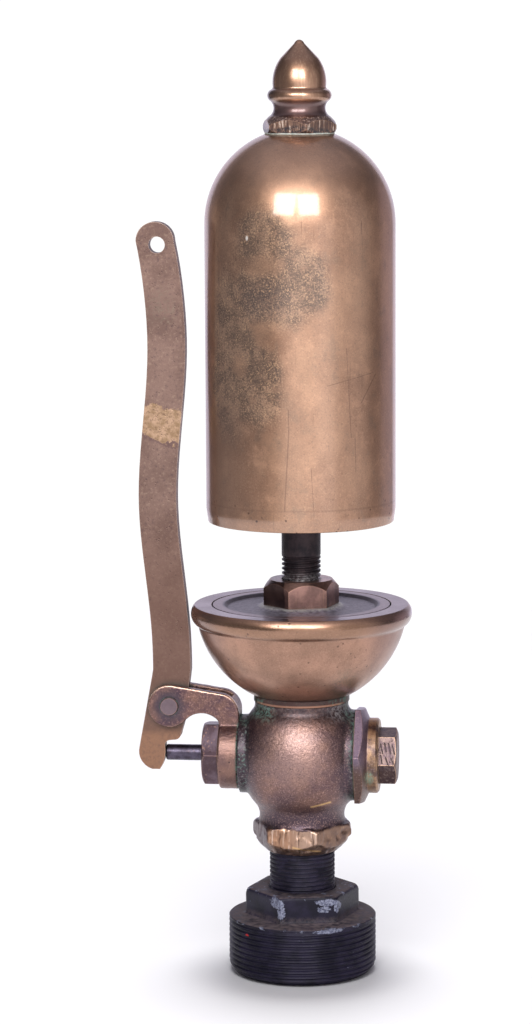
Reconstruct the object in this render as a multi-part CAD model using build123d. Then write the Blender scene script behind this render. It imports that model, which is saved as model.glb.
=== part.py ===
from build123d import *
import math
import os

# Single-bell steam whistle with its own lever valve. Millimetres.
# +Z runs up the bell's axis and the origin is the centre of the bushing's lower face.
# The lever stands on the -X side, the valve's bonnet on the +X side, and -Y is the front.

# Reducing bushing and pipe nipple, to American taper-pipe sizes
BUSHING_R = 30.0            # 2 in NPT, outside the thread
BUSHING_THREAD_TOP = 23.7
BUSHING_LEAD_IN = 3.0       # rounded start of the thread
BUSHING_HEX_R = 23.3        # across corners / 2
BUSHING_HEX_TURN = 12.3     # degrees, see hexagon()
BUSHING_TOP = 34.6
NIPPLE_R = 13.3             # 3/4 in NPT, outside the thread
NIPPLE_BORE_R = 10.4
NIPPLE_LENGTH = 50.8
NIPPLE_BOTTOM = 14.0
NIPPLE_TOP = NIPPLE_BOTTOM + NIPPLE_LENGTH
THREAD_CLEARANCE = 0.05     # radial, between a male thread's crest and its plain bore

# Valve body: hexagon foot, globe, neck, and two side bosses on the valve's axis
VALVE_Z = 89.4              # height of the valve's axis, which lies along X
BODY_BOTTOM = 50.3
BODY_HEX_TOP = 62.0
BODY_HEX_R = 20.8
BODY_HEX_TURN = -7.7
BODY_HEX_CHAMFER_R = 14.5   # circle to which the foot's lower corners are turned away
WAIST_R = 17.3              # narrowest place between the foot and the globe
GLOBE_R = 26.3
GLOBE_HALF_HEIGHT = 28.5
CAVITY_R = 21.8
CAVITY_HALF_HEIGHT = 20.0
NECK_R = 19.2
BODY_TOP = 112.0
RIGHT_BOSS_R = 18.5
RIGHT_BOSS_END = 22.0
LEFT_BOSS_R = 16.0
LEFT_BOSS_END = -25.0
WALL = 3.5                  # thickness of the partition that carries the seat
PARTITION_X = -3.0
LOWER_SHELF_Z = 71.0
UPPER_SHELF_Z = 101.0

# Seat, stem and disc
PORT_R = 8.0
SEAT_R = 10.4
STEM_R = 3.25
STEM_LEFT = -55.45
STEM_RIGHT = 25.0
STEM_CLEARANCE = 0.06       # radial, where the stem runs in a bore
SEAT_FACE = 2.5             # x of the seat's face
INSERT_FACE = 2.6           # x of the composition face that closes on it
DISC_R = 11.0
DISC_BACK = 9.0

# Stuffing box
STUFFING_R = 9.6
STUFFING_END = -14.5
STUFFING_WALL_R = 12.5      # of the thick wall round the stuffing box, inside the globe
GLAND_LEFT = -20.4          # where the packing nut meets the gland
PACKING_THICKNESS = 1.3
PACKING_RINGS = 3
PACKING_NUT_HEX_R = 14.0
PACKING_NUT_TURN = 84
PACKING_NUT_LEFT = -40.0
BRACKET_LEFT = -33.2        # the bracket's ring is held between the nut and the body

# Bonnet and its plug
GASKET_THICKNESS = 0.4
BONNET_HEX_R = 21.8
BONNET_HEX_TURN = 82
BONNET_THREAD_R = 15.3
BONNET_THREAD_END = 12.0
BONNET_HEX_END = 27.5
BONNET_COLLAR_R = 15.25
BONNET_END = 31.7
BONNET_BORE_R = 12.5
BONNET_FLOOR = 24.0
PLUG_R = 10.0
PLUG_INNER_END = 23.0
PLUG_HEX_R = 11.6
PLUG_HEX_TURN = 39
PLUG_END = 39.1

# Valve spring
SPRING_WIRE = 1.3
SPRING_R = 7.8              # to the wire's centre
SPRING_TURNS = 5

# Lever bracket, pin and lever
PIVOT_X = -53.4
PIVOT_Z = 109.7
EYE_R = 8.6
FORK_WIDTH = 14.2
SLOT_WIDTH = 6.6
SLOT_END = -28.5
SLOT_FLOOR = 105.2
RING_R = 14.5
PIN_R = 3.0
PIN_HEAD_R = 3.75
PIN_HEAD_HEIGHT = 0.9
PIN_CLEARANCE = 0.06
PIN_WASHER_R = 6.0
PIN_WASHER_THICKNESS = 1.0
LEVER_WIDTH = 15.3
LEVER_THICKNESS = 6.0
LEVER_TOP = 305.6
CHAIN_HOLE = (-57.3, 296.4)
CHAIN_HOLE_R = 3.3
NOSE_R = 14.0               # the toe's rounded nose, which pushes the stem
NOSE_X = -55.6              # its foremost point, 0.15 mm from the stem's end
NOSE_Z = 90.5
TOE_Z = 82.8                # lower end of the toe

# Bowl, disc and spindle
BOWL_R = 43.0
BOWL_WALL = 4.2
BOWL_CENTRE_Z = 153.0
BOWL_RIM_Z = 151.5
BOWL_FOOT_R = 19.4
BOWL_TAIL_R = 12.5
BOWL_TAIL_BOTTOM = 105.0
BOWL_BORE_R = 9.5
BEAD_R = 44.7
BEAD_Z = 147.7
BEAD_LOW_Z = 143.2          # where the bead meets the bowl
BEAD_FILLET = 1.8
RIM_R = 43.2
SLOT_OUTER_R = 36.35        # the annular steam slot lies between this and the disc
DISC_PLATE_R = 35.85
DISC_RECESS_R = 31.0
DISC_RECESS_Z = 150.3
DISC_UNDERSIDE_Z = 145.5
DISC_BOSS_R = 16.0
HUB_R = 11.5
HUB_BOTTOM = 124.0
HUB_TOP = 143.5
RIB_THICKNESS = 4.0
RIB_HEIGHT = 14.0
SPINDLE_R = 7.9
SPINDLE_TOP = 356.0
SPINDLE_BORE_R = SPINDLE_R + THREAD_CLEARANCE
DISC_NUT_HEX_R = 15.5
DISC_NUT_TURN = 16.0
DISC_NUT_TOP = 161.8

# Bell and acorn nut
BELL_R = 38.1
BELL_BOTTOM = 185.5
BELL_WALL = 3.1
DOME_Z = 304.8              # centre of the domed crown
CROWN_FLAT_Z = 340.3
CROWN_PAD_R = 13.0
CROWN_PAD_BOTTOM = 328.0
BELL_WASHER_R = 13.9
BELL_WASHER_THICKNESS = 0.6
ACORN_HEX_R = 15.6
ACORN_HEX_TURN = -15
ACORN_HEX_TOP = 347.2
ACORN_SHOULDER_R = 12.2     # where the hexagon's chamfer meets the neck
ACORN_NECK_R = 10.3
ACORN_BEAD_R = 12.75
ACORN_BORE_TOP = 362.5
ACORN_TIP = 377.3

# Along the valve's axis: local z is +X, local x is up, and local y is the front
VALVE_AXIS = Plane(origin=(0, 0, VALVE_Z), x_dir=(0, 0, 1), z_dir=(1, 0, 0))


def turned(*outline):
    """A solid turned about Z from a closed outline of edges or of (radius, height) points."""
    if isinstance(outline[0], tuple):
        corners = [a for a, b in zip(outline, outline[1:] + outline[:1]) if a != b]
        outline = [Polyline(*corners, close=True)]
    return revolve(Plane.XZ * make_face(outline), Axis.Z)


def rod(radius, low, high, chamfer_size=0.0):
    """A round bar about Z from low to high, with both ends chamfered."""
    cut = chamfer_size
    return turned((0, low), (radius - cut, low), (radius, low + cut),
                  (radius, high - cut), (radius - cut, high), (0, high))


def tube(outer, inner, low, high):
    """A round tube about Z."""
    return rod(outer, low, high) - rod(inner, low - 1, high + 1)


def hexagon(corner_r, low, high, turn, low_r=None, high_r=None, slope=30):
    """A hexagon bar about Z whose corners are turned away to a circle at one or both ends.

    turn is a corner's angle from +X in degrees, and slope is the chamfer's own angle.
    """
    bar = extrude(Plane.XY.offset(low) * RegularPolygon(corner_r, 6, rotation=turn), high - low)
    rise = math.tan(math.radians(slope))
    low_r = low_r or corner_r
    high_r = high_r or corner_r
    envelope = turned((0, low), (low_r, low), (corner_r, low + (corner_r - low_r) * rise),
                      (corner_r, high - (corner_r - high_r) * rise), (high_r, high), (0, high))
    return bar & envelope


def across(shape):
    """Lays a shape that was made about Z along the valve's axis."""
    return VALVE_AXIS * shape


def make_reducing_bushing():
    thread = rod(BUSHING_R, 0, BUSHING_THREAD_TOP)
    thread = thread & turned((0, 0), (BUSHING_R - BUSHING_LEAD_IN, 0),
                             (BUSHING_R - 0.8, 2.2), (BUSHING_R, 5.0),
                             (BUSHING_R, BUSHING_THREAD_TOP - 0.6),
                             (BUSHING_R - 0.6, BUSHING_THREAD_TOP), (0, BUSHING_THREAD_TOP))
    head = hexagon(BUSHING_HEX_R, BUSHING_THREAD_TOP, BUSHING_TOP, BUSHING_HEX_TURN, high_r=22.4)
    bore = rod(NIPPLE_R + THREAD_CLEARANCE, -1, BUSHING_TOP + 1)
    return thread + head - bore


def make_pipe_nipple():
    return rod(NIPPLE_R, NIPPLE_BOTTOM, NIPPLE_TOP, 1.2) - rod(NIPPLE_BORE_R, 0, 70)


def globe_radius(height):
    """Outside radius of the globe at a height."""
    return GLOBE_R * math.sqrt(1 - ((height - VALVE_Z) / GLOBE_HALF_HEIGHT) ** 2)


def globe_casting():
    """The globe with its waist and neck, solid."""
    waist_z = 69.4
    neck_z = 108.0
    root_z = BODY_HEX_TOP - 2
    root_r = WAIST_R + 0.55
    low_angle = math.degrees(math.asin((waist_z - VALVE_Z) / GLOBE_HALF_HEIGHT))
    high_angle = math.degrees(math.asin((neck_z - VALVE_Z) / GLOBE_HALF_HEIGHT))
    waist = (globe_radius(waist_z), waist_z)
    neck = (globe_radius(neck_z), neck_z)
    side = EllipticalCenterArc((0, VALVE_Z), GLOBE_R, GLOBE_HALF_HEIGHT,
                               start_angle=low_angle, arc_size=high_angle - low_angle)
    return turned(
        Line((0, root_z), (root_r, root_z)),
        Line((root_r, root_z), (root_r, BODY_HEX_TOP)),
        ThreePointArc((root_r, BODY_HEX_TOP), (WAIST_R, 65.2), waist),
        side,
        ThreePointArc(neck, (18.95, 110.3), (NECK_R, BODY_TOP)),
        Line((NECK_R, BODY_TOP), (0, BODY_TOP)),
        Line((0, BODY_TOP), (0, root_z)),
    )


def partition():
    """S-shaped inner wall: inlet below opens to the right chamber, outlet above to the left."""
    right = PARTITION_X + WALL
    far = GLOBE_R
    wall = Polyline(
        (-far, LOWER_SHELF_Z), (right, LOWER_SHELF_Z), (right, UPPER_SHELF_Z),
        (far, UPPER_SHELF_Z), (far, UPPER_SHELF_Z + WALL), (PARTITION_X, UPPER_SHELF_Z + WALL),
        (PARTITION_X, LOWER_SHELF_Z + WALL), (-far, LOWER_SHELF_Z + WALL), close=True)
    return extrude(Plane.XZ * make_face(wall), GLOBE_R, both=True)


def make_valve_body():
    foot = hexagon(BODY_HEX_R, BODY_BOTTOM, BODY_HEX_TOP, BODY_HEX_TURN,
                   low_r=BODY_HEX_CHAMFER_R, high_r=19.2, slope=45)
    between_faces = Pos((LEFT_BOSS_END + RIGHT_BOSS_END) / 2, 0, VALVE_Z) * Box(
        RIGHT_BOSS_END - LEFT_BOSS_END, 4 * GLOBE_R, 4 * GLOBE_R)
    outside = globe_casting() & between_faces
    right_boss = across(rod(RIGHT_BOSS_R, 0, RIGHT_BOSS_END))
    left_boss = across(rod(LEFT_BOSS_R, LEFT_BOSS_END, 0))
    cavity = Pos(0, 0, VALVE_Z) * scale(Sphere(1), (CAVITY_R, CAVITY_R, CAVITY_HALF_HEIGHT))
    inlet = rod(NIPPLE_BORE_R, BODY_BOTTOM, VALVE_Z - 10)
    stuffing_boss = across(rod(STUFFING_WALL_R, LEFT_BOSS_END, STUFFING_END + 2.5))
    casting = foot + outside + right_boss + left_boss - cavity - inlet
    casting = casting + (partition() & outside) + stuffing_boss
    inlet_thread = rod(NIPPLE_R + THREAD_CLEARANCE, BODY_BOTTOM - 1, NIPPLE_TOP + 0.7)
    outlet_thread = rod(BOWL_TAIL_R + THREAD_CLEARANCE, BOWL_TAIL_BOTTOM, BODY_TOP + 1)
    seat_hole = across(rod(SEAT_R + THREAD_CLEARANCE, PARTITION_X - 1, 2))
    bonnet_thread = across(rod(BONNET_THREAD_R + THREAD_CLEARANCE, BONNET_THREAD_END, 30))
    stuffing_box = across(rod(STUFFING_R, LEFT_BOSS_END - 1, STUFFING_END))
    stem_hole = across(rod(STEM_R + STEM_CLEARANCE, STUFFING_END - 1, STUFFING_END + 4))
    return casting - inlet_thread - outlet_thread - seat_hole - bonnet_thread - stuffing_box - stem_hole


def make_seat_ring():
    sleeve = rod(SEAT_R, PARTITION_X, 0.5)
    lip = rod(SEAT_R + 1.1, 0.5, SEAT_FACE, 0.4)
    return across(sleeve + lip - rod(PORT_R, -10, 10))


def make_valve_stem():
    collar = rod(5.0, 0.2, INSERT_FACE)
    return across(rod(STEM_R, STEM_LEFT, STEM_RIGHT, 0.45) + collar)


def make_disc_insert():
    return across(tube(9.5, STEM_R + THREAD_CLEARANCE, INSERT_FACE, 5.0))


def make_valve_disc():
    holder = rod(DISC_R, 3.2, DISC_BACK, 0.5)
    recess = rod(9.5 + THREAD_CLEARANCE, 3.0, 5.0)
    return across(holder - recess - rod(STEM_R + THREAD_CLEARANCE, 0, 20))


def make_disc_nut():
    nut = hexagon(5.6, DISC_BACK, DISC_BACK + 3.2, 0, high_r=4.9)
    return across(nut - rod(STEM_R + THREAD_CLEARANCE, 0, 20))


def make_valve_spring():
    low = DISC_BACK + SPRING_WIRE / 2 + 0.1
    high = PLUG_INNER_END - SPRING_WIRE / 2 - 0.1
    coil = Helix(pitch=(high - low) / SPRING_TURNS, height=high - low, radius=SPRING_R)
    wire = sweep(Plane(coil @ 0, z_dir=coil % 0) * Circle(SPRING_WIRE / 2), coil)
    return across(Pos(0, 0, low) * wire)


def make_packing_nut():
    head = hexagon(PACKING_NUT_HEX_R, PACKING_NUT_LEFT, BRACKET_LEFT, PACKING_NUT_TURN, low_r=11.8)
    tail = rod(STUFFING_R - THREAD_CLEARANCE, BRACKET_LEFT, GLAND_LEFT, 0.5)
    return across(head + tail - rod(STEM_R + STEM_CLEARANCE, -60, 0))


def make_packing_gland():
    packing_left = STUFFING_END - PACKING_RINGS * PACKING_THICKNESS
    return across(tube(STUFFING_R - THREAD_CLEARANCE, STEM_R + STEM_CLEARANCE, GLAND_LEFT, packing_left))


def make_stem_packing():
    rings = []
    for index in range(PACKING_RINGS):
        right = STUFFING_END - index * PACKING_THICKNESS
        ring = tube(STUFFING_R - THREAD_CLEARANCE, STEM_R + STEM_CLEARANCE,
                    right - PACKING_THICKNESS + 0.05, right)
        rings.append(across(ring))
    return rings


def make_bonnet_gasket():
    return across(tube(RIGHT_BOSS_R - 0.3, BONNET_THREAD_R + THREAD_CLEARANCE,
                       RIGHT_BOSS_END, RIGHT_BOSS_END + GASKET_THICKNESS))


def make_valve_bonnet():
    seat = RIGHT_BOSS_END + GASKET_THICKNESS
    flange = hexagon(BONNET_HEX_R, seat, BONNET_HEX_END, BONNET_HEX_TURN,
                     high_r=BONNET_COLLAR_R, slope=24.6)
    collar = rod(BONNET_COLLAR_R, BONNET_HEX_END - 1, BONNET_END, 0.8)
    thread = rod(BONNET_THREAD_R, BONNET_THREAD_END, seat + 1, 0.6)
    chamber = rod(BONNET_BORE_R, BONNET_THREAD_END - 1, BONNET_FLOOR)
    plug_hole = rod(PLUG_R + THREAD_CLEARANCE, BONNET_FLOOR - 1, BONNET_END + 1)
    return across(flange + collar + thread - chamber - plug_hole)


def make_bonnet_plug():
    head = hexagon(PLUG_HEX_R, BONNET_END, PLUG_END, PLUG_HEX_TURN, high_r=9.6, slope=24)
    shank = rod(PLUG_R, PLUG_INNER_END, BONNET_END, 0.4)
    guide = rod(STEM_R + STEM_CLEARANCE, PLUG_INNER_END - 1, 31.5)
    return across(head + shank - guide)


def bracket_side():
    """Side view of the bracket's two cheeks, in X and Z, as one face."""
    back = LEFT_BOSS_END
    front = BRACKET_LEFT
    arm = make_face([
        Line((PIVOT_X + 0.4, PIVOT_Z + EYE_R), (-31.5, 115.0)),
        ThreePointArc((-31.5, 115.0), (-27.0, 112.2), (back, 106.5)),
        Line((back, 106.5), (back, VALVE_Z)),
        Line((back, VALVE_Z), (front, VALVE_Z)),
        Line((front, VALVE_Z), (front, 103.6)),
        ThreePointArc((front, 103.6), (-38.8, 106.8), (-47.5, 103.2)),
        Line((-47.5, 103.2), (PIVOT_X, PIVOT_Z)),
        Line((PIVOT_X, PIVOT_Z), (PIVOT_X + 0.4, PIVOT_Z + EYE_R)),
    ])
    return arm + Pos(PIVOT_X, PIVOT_Z) * Circle(EYE_R)


def crosswise(radius, low_y, high_y):
    """A round bar along Y through the lever's pivot."""
    bar = Pos(PIVOT_X, 0, PIVOT_Z) * Rot(-90, 0, 0) * Cylinder(radius, high_y - low_y)
    return Pos(0, (low_y + high_y) / 2, 0) * bar


def make_lever_bracket():
    cheeks = extrude(Plane.XZ * bracket_side(), FORK_WIDTH / 2, both=True)
    ring = across(rod(RING_R, BRACKET_LEFT, LEFT_BOSS_END, 0.5))
    slot = Pos((PIVOT_X + SLOT_END) / 2 - 10, 0, SLOT_FLOOR + 10) * Box(
        SLOT_END - PIVOT_X + 20, SLOT_WIDTH, 20)
    eye_slot = Pos(PIVOT_X, 0, PIVOT_Z) * Box(40, SLOT_WIDTH, 30)
    below_arm = Pos(BRACKET_LEFT - 20, 0, PIVOT_Z) * Box(40, 40, 60)
    nut_hole = across(rod(STUFFING_R + THREAD_CLEARANCE, -50, 0))
    pin_hole = crosswise(PIN_R + PIN_CLEARANCE, -20, 20)
    return cheeks + ring - slot - (eye_slot & below_arm) - nut_hole - pin_hole


def make_lever_pin():
    front = -FORK_WIDTH / 2
    back = FORK_WIDTH / 2 + PIN_WASHER_THICKNESS
    head = crosswise(PIN_HEAD_R, front - PIN_HEAD_HEIGHT, front)
    head = chamfer(head.edges().filter_by(GeomType.CIRCLE).sort_by(Axis.Y)[0], 0.35)
    rivet = crosswise(PIN_HEAD_R + 0.4, back, back + 1.4)
    rivet = chamfer(rivet.edges().filter_by(GeomType.CIRCLE).sort_by(Axis.Y)[-1], 0.9)
    return head + crosswise(PIN_R, front, back) + rivet


def make_pin_washer():
    back = FORK_WIDTH / 2
    return (crosswise(PIN_WASHER_R, back, back + PIN_WASHER_THICKNESS)
            - crosswise(PIN_R + PIN_CLEARANCE, back - 1, back + 3))


def lever_side():
    """Side view of the lever, in X and Z: a gently waved bar, its hub and the toe below it."""
    half = LEVER_WIDTH / 2
    middle = [(-52.7, 124), (-53.3, 142), (-57.9, 193), (-53.75, 254), (-54.9, 277), (-58.1, 298)]
    left = [(x - half, z) for x, z in middle]
    right = [(x + half, z) for x, z in reversed(middle)]
    nose_centre = NOSE_X - NOSE_R
    nose_low = nose_centre + math.sqrt(NOSE_R ** 2 - (NOSE_Z - TOE_Z) ** 2)
    nose_high = nose_centre + math.sqrt(NOSE_R ** 2 - 2.0 ** 2)
    return make_face([
        Spline(*left),
        ThreePointArc(left[-1], (-58.4, LEVER_TOP), right[0]),
        Spline(*right),
        Line(right[-1], (-47.7, 102.7)),
        Line((-47.7, 102.7), (-49.2, 97.6)),
        ThreePointArc((-49.2, 97.6), (-49.9, 95.9), (-51.6, 95.1)),
        Line((-51.6, 95.1), (-53.7, 94.9)),
        ThreePointArc((-53.7, 94.9), (-55.2, 94.2), (nose_high, NOSE_Z + 2.0)),
        ThreePointArc((nose_high, NOSE_Z + 2.0), (NOSE_X, NOSE_Z), (nose_low, TOE_Z)),
        Line((nose_low, TOE_Z), (-61.0, TOE_Z)),
        ThreePointArc((-61.0, TOE_Z), (-65.1, 85.7), (-66.4, 91.2)),
        Line((-66.4, 91.2), left[0]),
    ])


def make_lever():
    bar = extrude(Plane.XZ * lever_side(), LEVER_THICKNESS / 2, both=True)
    chain_hole = Pos(CHAIN_HOLE[0], 0, CHAIN_HOLE[1]) * Rot(90, 0, 0) * Cylinder(CHAIN_HOLE_R, 20)
    return bar - chain_hole - crosswise(PIN_R + PIN_CLEARANCE, -20, 20)


def make_bowl():
    inner_r = BOWL_R - BOWL_WALL
    foot_z = BOWL_CENTRE_Z - math.sqrt(BOWL_R ** 2 - BOWL_FOOT_R ** 2)
    bead_low = (math.sqrt(BOWL_R ** 2 - (BOWL_CENTRE_Z - BEAD_LOW_Z) ** 2), BEAD_LOW_Z)
    lip_z = 146.0
    lip_r = math.sqrt(inner_r ** 2 - (BOWL_CENTRE_Z - lip_z) ** 2)
    floor_z = BOWL_CENTRE_Z - math.sqrt(inner_r ** 2 - BOWL_BORE_R ** 2)
    side = math.sqrt(0.5)
    outer_mid = (BOWL_R * side, BOWL_CENTRE_Z - BOWL_R * side)
    inner_mid = (inner_r * side, BOWL_CENTRE_Z - inner_r * side)
    shell = turned(
        Line((BOWL_BORE_R, BOWL_TAIL_BOTTOM), (BOWL_TAIL_R, BOWL_TAIL_BOTTOM)),
        Line((BOWL_TAIL_R, BOWL_TAIL_BOTTOM), (BOWL_TAIL_R, BODY_TOP)),
        Line((BOWL_TAIL_R, BODY_TOP), (BOWL_FOOT_R, BODY_TOP)),
        Line((BOWL_FOOT_R, BODY_TOP), (BOWL_FOOT_R, foot_z)),
        ThreePointArc((BOWL_FOOT_R, foot_z), outer_mid, bead_low),
        ThreePointArc(bead_low, (BEAD_R, BEAD_Z), (RIM_R, BOWL_RIM_Z)),
        Line((RIM_R, BOWL_RIM_Z), (SLOT_OUTER_R, BOWL_RIM_Z)),
        Line((SLOT_OUTER_R, BOWL_RIM_Z), (SLOT_OUTER_R, lip_z)),
        Line((SLOT_OUTER_R, lip_z), (lip_r, lip_z)),
        ThreePointArc((lip_r, lip_z), inner_mid, (BOWL_BORE_R, floor_z)),
        Line((BOWL_BORE_R, floor_z), (BOWL_BORE_R, BOWL_TAIL_BOTTOM)),
    )
    bead_foot = [edge for edge in shell.edges() if abs(edge.center().Z - BEAD_LOW_Z) < 0.1]
    shell = fillet(bead_foot, BEAD_FILLET)
    hub = rod(HUB_R, HUB_BOTTOM, HUB_TOP)
    arm = Pos(0, 0, HUB_BOTTOM + RIB_HEIGHT / 2) * Box(2 * BOWL_R, RIB_THICKNESS, RIB_HEIGHT)
    spider = Rot(0, 0, 45) * arm + Rot(0, 0, 135) * arm
    within_shell = Pos(0, 0, BOWL_CENTRE_Z) * Sphere(inner_r + 1)
    return shell + hub + (spider & within_shell) - rod(SPINDLE_BORE_R, HUB_BOTTOM - 1, HUB_TOP + 1)


def make_bowl_disc():
    return turned(
        Line((SPINDLE_BORE_R, HUB_TOP), (15.0, HUB_TOP)),
        Line((15.0, HUB_TOP), (17.5, DISC_UNDERSIDE_Z)),
        Line((17.5, DISC_UNDERSIDE_Z), (DISC_PLATE_R, DISC_UNDERSIDE_Z)),
        Line((DISC_PLATE_R, DISC_UNDERSIDE_Z), (DISC_PLATE_R, BOWL_RIM_Z)),
        Line((DISC_PLATE_R, BOWL_RIM_Z), (DISC_RECESS_R, BOWL_RIM_Z)),
        Line((DISC_RECESS_R, BOWL_RIM_Z), (DISC_RECESS_R - 1.0, DISC_RECESS_Z)),
        Line((DISC_RECESS_R - 1.0, DISC_RECESS_Z), (20.0, DISC_RECESS_Z)),
        ThreePointArc((20.0, DISC_RECESS_Z), (17.6, 150.7), (DISC_BOSS_R, BOWL_RIM_Z)),
        Line((DISC_BOSS_R, BOWL_RIM_Z), (SPINDLE_BORE_R, BOWL_RIM_Z)),
        Line((SPINDLE_BORE_R, BOWL_RIM_Z), (SPINDLE_BORE_R, HUB_TOP)),
    )


def make_spindle():
    return rod(SPINDLE_R, HUB_BOTTOM, SPINDLE_TOP, 1.0)


def make_spindle_nut():
    nut = hexagon(DISC_NUT_HEX_R, BOWL_RIM_Z, DISC_NUT_TOP, DISC_NUT_TURN, high_r=12.6, slope=50)
    return nut - rod(SPINDLE_BORE_R, BOWL_RIM_Z - 1, DISC_NUT_TOP + 1)


def make_bell():
    inner_r = BELL_R - BELL_WALL
    flat_r = math.sqrt(BELL_R ** 2 - (CROWN_FLAT_Z - DOME_Z) ** 2)
    pad_z = DOME_Z + math.sqrt(inner_r ** 2 - CROWN_PAD_R ** 2)
    side = math.sqrt(0.5)
    return turned(
        Line((inner_r, BELL_BOTTOM), (BELL_R - 0.8, BELL_BOTTOM)),
        Line((BELL_R - 0.8, BELL_BOTTOM), (BELL_R, BELL_BOTTOM + 5.5)),
        Line((BELL_R, BELL_BOTTOM + 5.5), (BELL_R, DOME_Z)),
        ThreePointArc((BELL_R, DOME_Z), (BELL_R * side, DOME_Z + BELL_R * side), (flat_r, CROWN_FLAT_Z)),
        Line((flat_r, CROWN_FLAT_Z), (SPINDLE_BORE_R, CROWN_FLAT_Z)),
        Line((SPINDLE_BORE_R, CROWN_FLAT_Z), (SPINDLE_BORE_R, CROWN_PAD_BOTTOM)),
        Line((SPINDLE_BORE_R, CROWN_PAD_BOTTOM), (CROWN_PAD_R, CROWN_PAD_BOTTOM)),
        Line((CROWN_PAD_R, CROWN_PAD_BOTTOM), (CROWN_PAD_R, pad_z)),
        ThreePointArc((CROWN_PAD_R, pad_z), (inner_r * side, DOME_Z + inner_r * side), (inner_r, DOME_Z)),
        Line((inner_r, DOME_Z), (inner_r, BELL_BOTTOM)),
    )


def make_bell_washer():
    return tube(BELL_WASHER_R, SPINDLE_BORE_R, CROWN_FLAT_Z, CROWN_FLAT_Z + BELL_WASHER_THICKNESS)


def make_acorn_nut():
    hex_bottom = CROWN_FLAT_Z + BELL_WASHER_THICKNESS
    head = hexagon(ACORN_HEX_R, hex_bottom, ACORN_HEX_TOP, ACORN_HEX_TURN, low_r=14.2,
                   high_r=ACORN_SHOULDER_R, slope=45)
    crown = turned(
        Line((0, hex_bottom + 1), (ACORN_SHOULDER_R, hex_bottom + 1)),
        Line((ACORN_SHOULDER_R, hex_bottom + 1), (ACORN_SHOULDER_R, ACORN_HEX_TOP)),
        ThreePointArc((ACORN_SHOULDER_R, ACORN_HEX_TOP), (ACORN_NECK_R, 350.2), (11.4, 353.2)),
        ThreePointArc((11.4, 353.2), (ACORN_BEAD_R, 355.6), (11.3, 357.8)),
        ThreePointArc((11.3, 357.8), (10.7, 358.4), (10.6, 359.0)),
        ThreePointArc((10.6, 359.0), (9.9, 365.5), (7.5, 370.2)),
        ThreePointArc((7.5, 370.2), (4.6, 373.2), (2.0, 375.9)),
        ThreePointArc((2.0, 375.9), (1.35, 376.8), (0.5, ACORN_TIP)),
        Line((0.5, ACORN_TIP), (0, ACORN_TIP)),
        Line((0, ACORN_TIP), (0, hex_bottom + 1)),
    )
    return head + crown - rod(SPINDLE_BORE_R, hex_bottom - 1, ACORN_BORE_TOP)


PARTS = {
    "reducing_bushing": make_reducing_bushing,
    "pipe_nipple": make_pipe_nipple,
    "valve_body": make_valve_body,
    "seat_ring": make_seat_ring,
    "valve_stem": make_valve_stem,
    "valve_disc": make_valve_disc,
    "disc_insert": make_disc_insert,
    "disc_nut": make_disc_nut,
    "valve_spring": make_valve_spring,
    "packing_nut": make_packing_nut,
    "packing_gland": make_packing_gland,
    "stem_packing": make_stem_packing,
    "bonnet_gasket": make_bonnet_gasket,
    "valve_bonnet": make_valve_bonnet,
    "bonnet_plug": make_bonnet_plug,
    "lever_bracket": make_lever_bracket,
    "lever_pin": make_lever_pin,
    "pin_washer": make_pin_washer,
    "lever": make_lever,
    "bowl": make_bowl,
    "bowl_disc": make_bowl_disc,
    "spindle": make_spindle,
    "spindle_nut": make_spindle_nut,
    "bell": make_bell,
    "bell_washer": make_bell_washer,
    "acorn_nut": make_acorn_nut,
}

os.makedirs("parts", exist_ok=True)
for node, make in PARTS.items():
    made = make()
    pieces = made if isinstance(made, list) else made.solids()
    export_step(Compound(children=list(pieces)), f"parts/{node}.step")
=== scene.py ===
import math

import bpy
import numpy as np
from mathutils import Matrix, Vector, noise


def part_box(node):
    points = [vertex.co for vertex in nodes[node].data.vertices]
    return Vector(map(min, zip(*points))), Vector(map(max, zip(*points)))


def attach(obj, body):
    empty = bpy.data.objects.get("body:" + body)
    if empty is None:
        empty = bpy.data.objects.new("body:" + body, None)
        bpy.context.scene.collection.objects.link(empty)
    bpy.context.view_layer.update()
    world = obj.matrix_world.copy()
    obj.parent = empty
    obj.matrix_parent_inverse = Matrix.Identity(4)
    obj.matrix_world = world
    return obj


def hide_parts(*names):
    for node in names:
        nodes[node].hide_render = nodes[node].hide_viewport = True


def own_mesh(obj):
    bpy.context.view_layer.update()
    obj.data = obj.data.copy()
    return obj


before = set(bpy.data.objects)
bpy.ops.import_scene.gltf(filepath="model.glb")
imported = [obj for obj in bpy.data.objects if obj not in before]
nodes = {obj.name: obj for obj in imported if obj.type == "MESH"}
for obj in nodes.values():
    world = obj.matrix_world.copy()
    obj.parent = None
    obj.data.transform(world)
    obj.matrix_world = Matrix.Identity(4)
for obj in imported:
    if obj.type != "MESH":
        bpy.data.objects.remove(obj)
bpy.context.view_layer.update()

# A single-bell steam whistle in old bronze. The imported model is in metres: +Z runs up the bell's axis,
# the lever stands on the -X side, the bonnet on the +X side, and -Y is the front. The camera, lights and
# floor are given in metres too. Everything else is in millimetres, and MM turns it into metres.

MM = 0.001

BUSHING_PITCH = 25.4 / 11.5
NIPPLE_PITCH = 25.4 / 14
SPINDLE_PITCH = 25.4 / 14
THREAD_ROWS = 16            # rows of vertices in one turn of thread
THREAD_FLAT = 0.3           # share of the pitch that the crest and the root each leave flat
CREST_LINE = 0.32           # depth of the tool's fine line along each crest, as a share of the thread's depth
CREST_LINE_WIDTH = 0.22     # half its width, as a share of half the pitch

FOOT_TOP = 62.3             # top of the valve body's hexagon foot
COLLAR_START = 27.6         # where the bonnet's round collar starts
LEVER_PIN = (-53.4, 0, 109.7)
WELD_GAP = 0.01             # vertices closer than this are the same one
SHARP_EDGE = math.radians(28)   # edges that turn more than this are rounded


# ---------------------------------------------------------------- shader nodes

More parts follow.
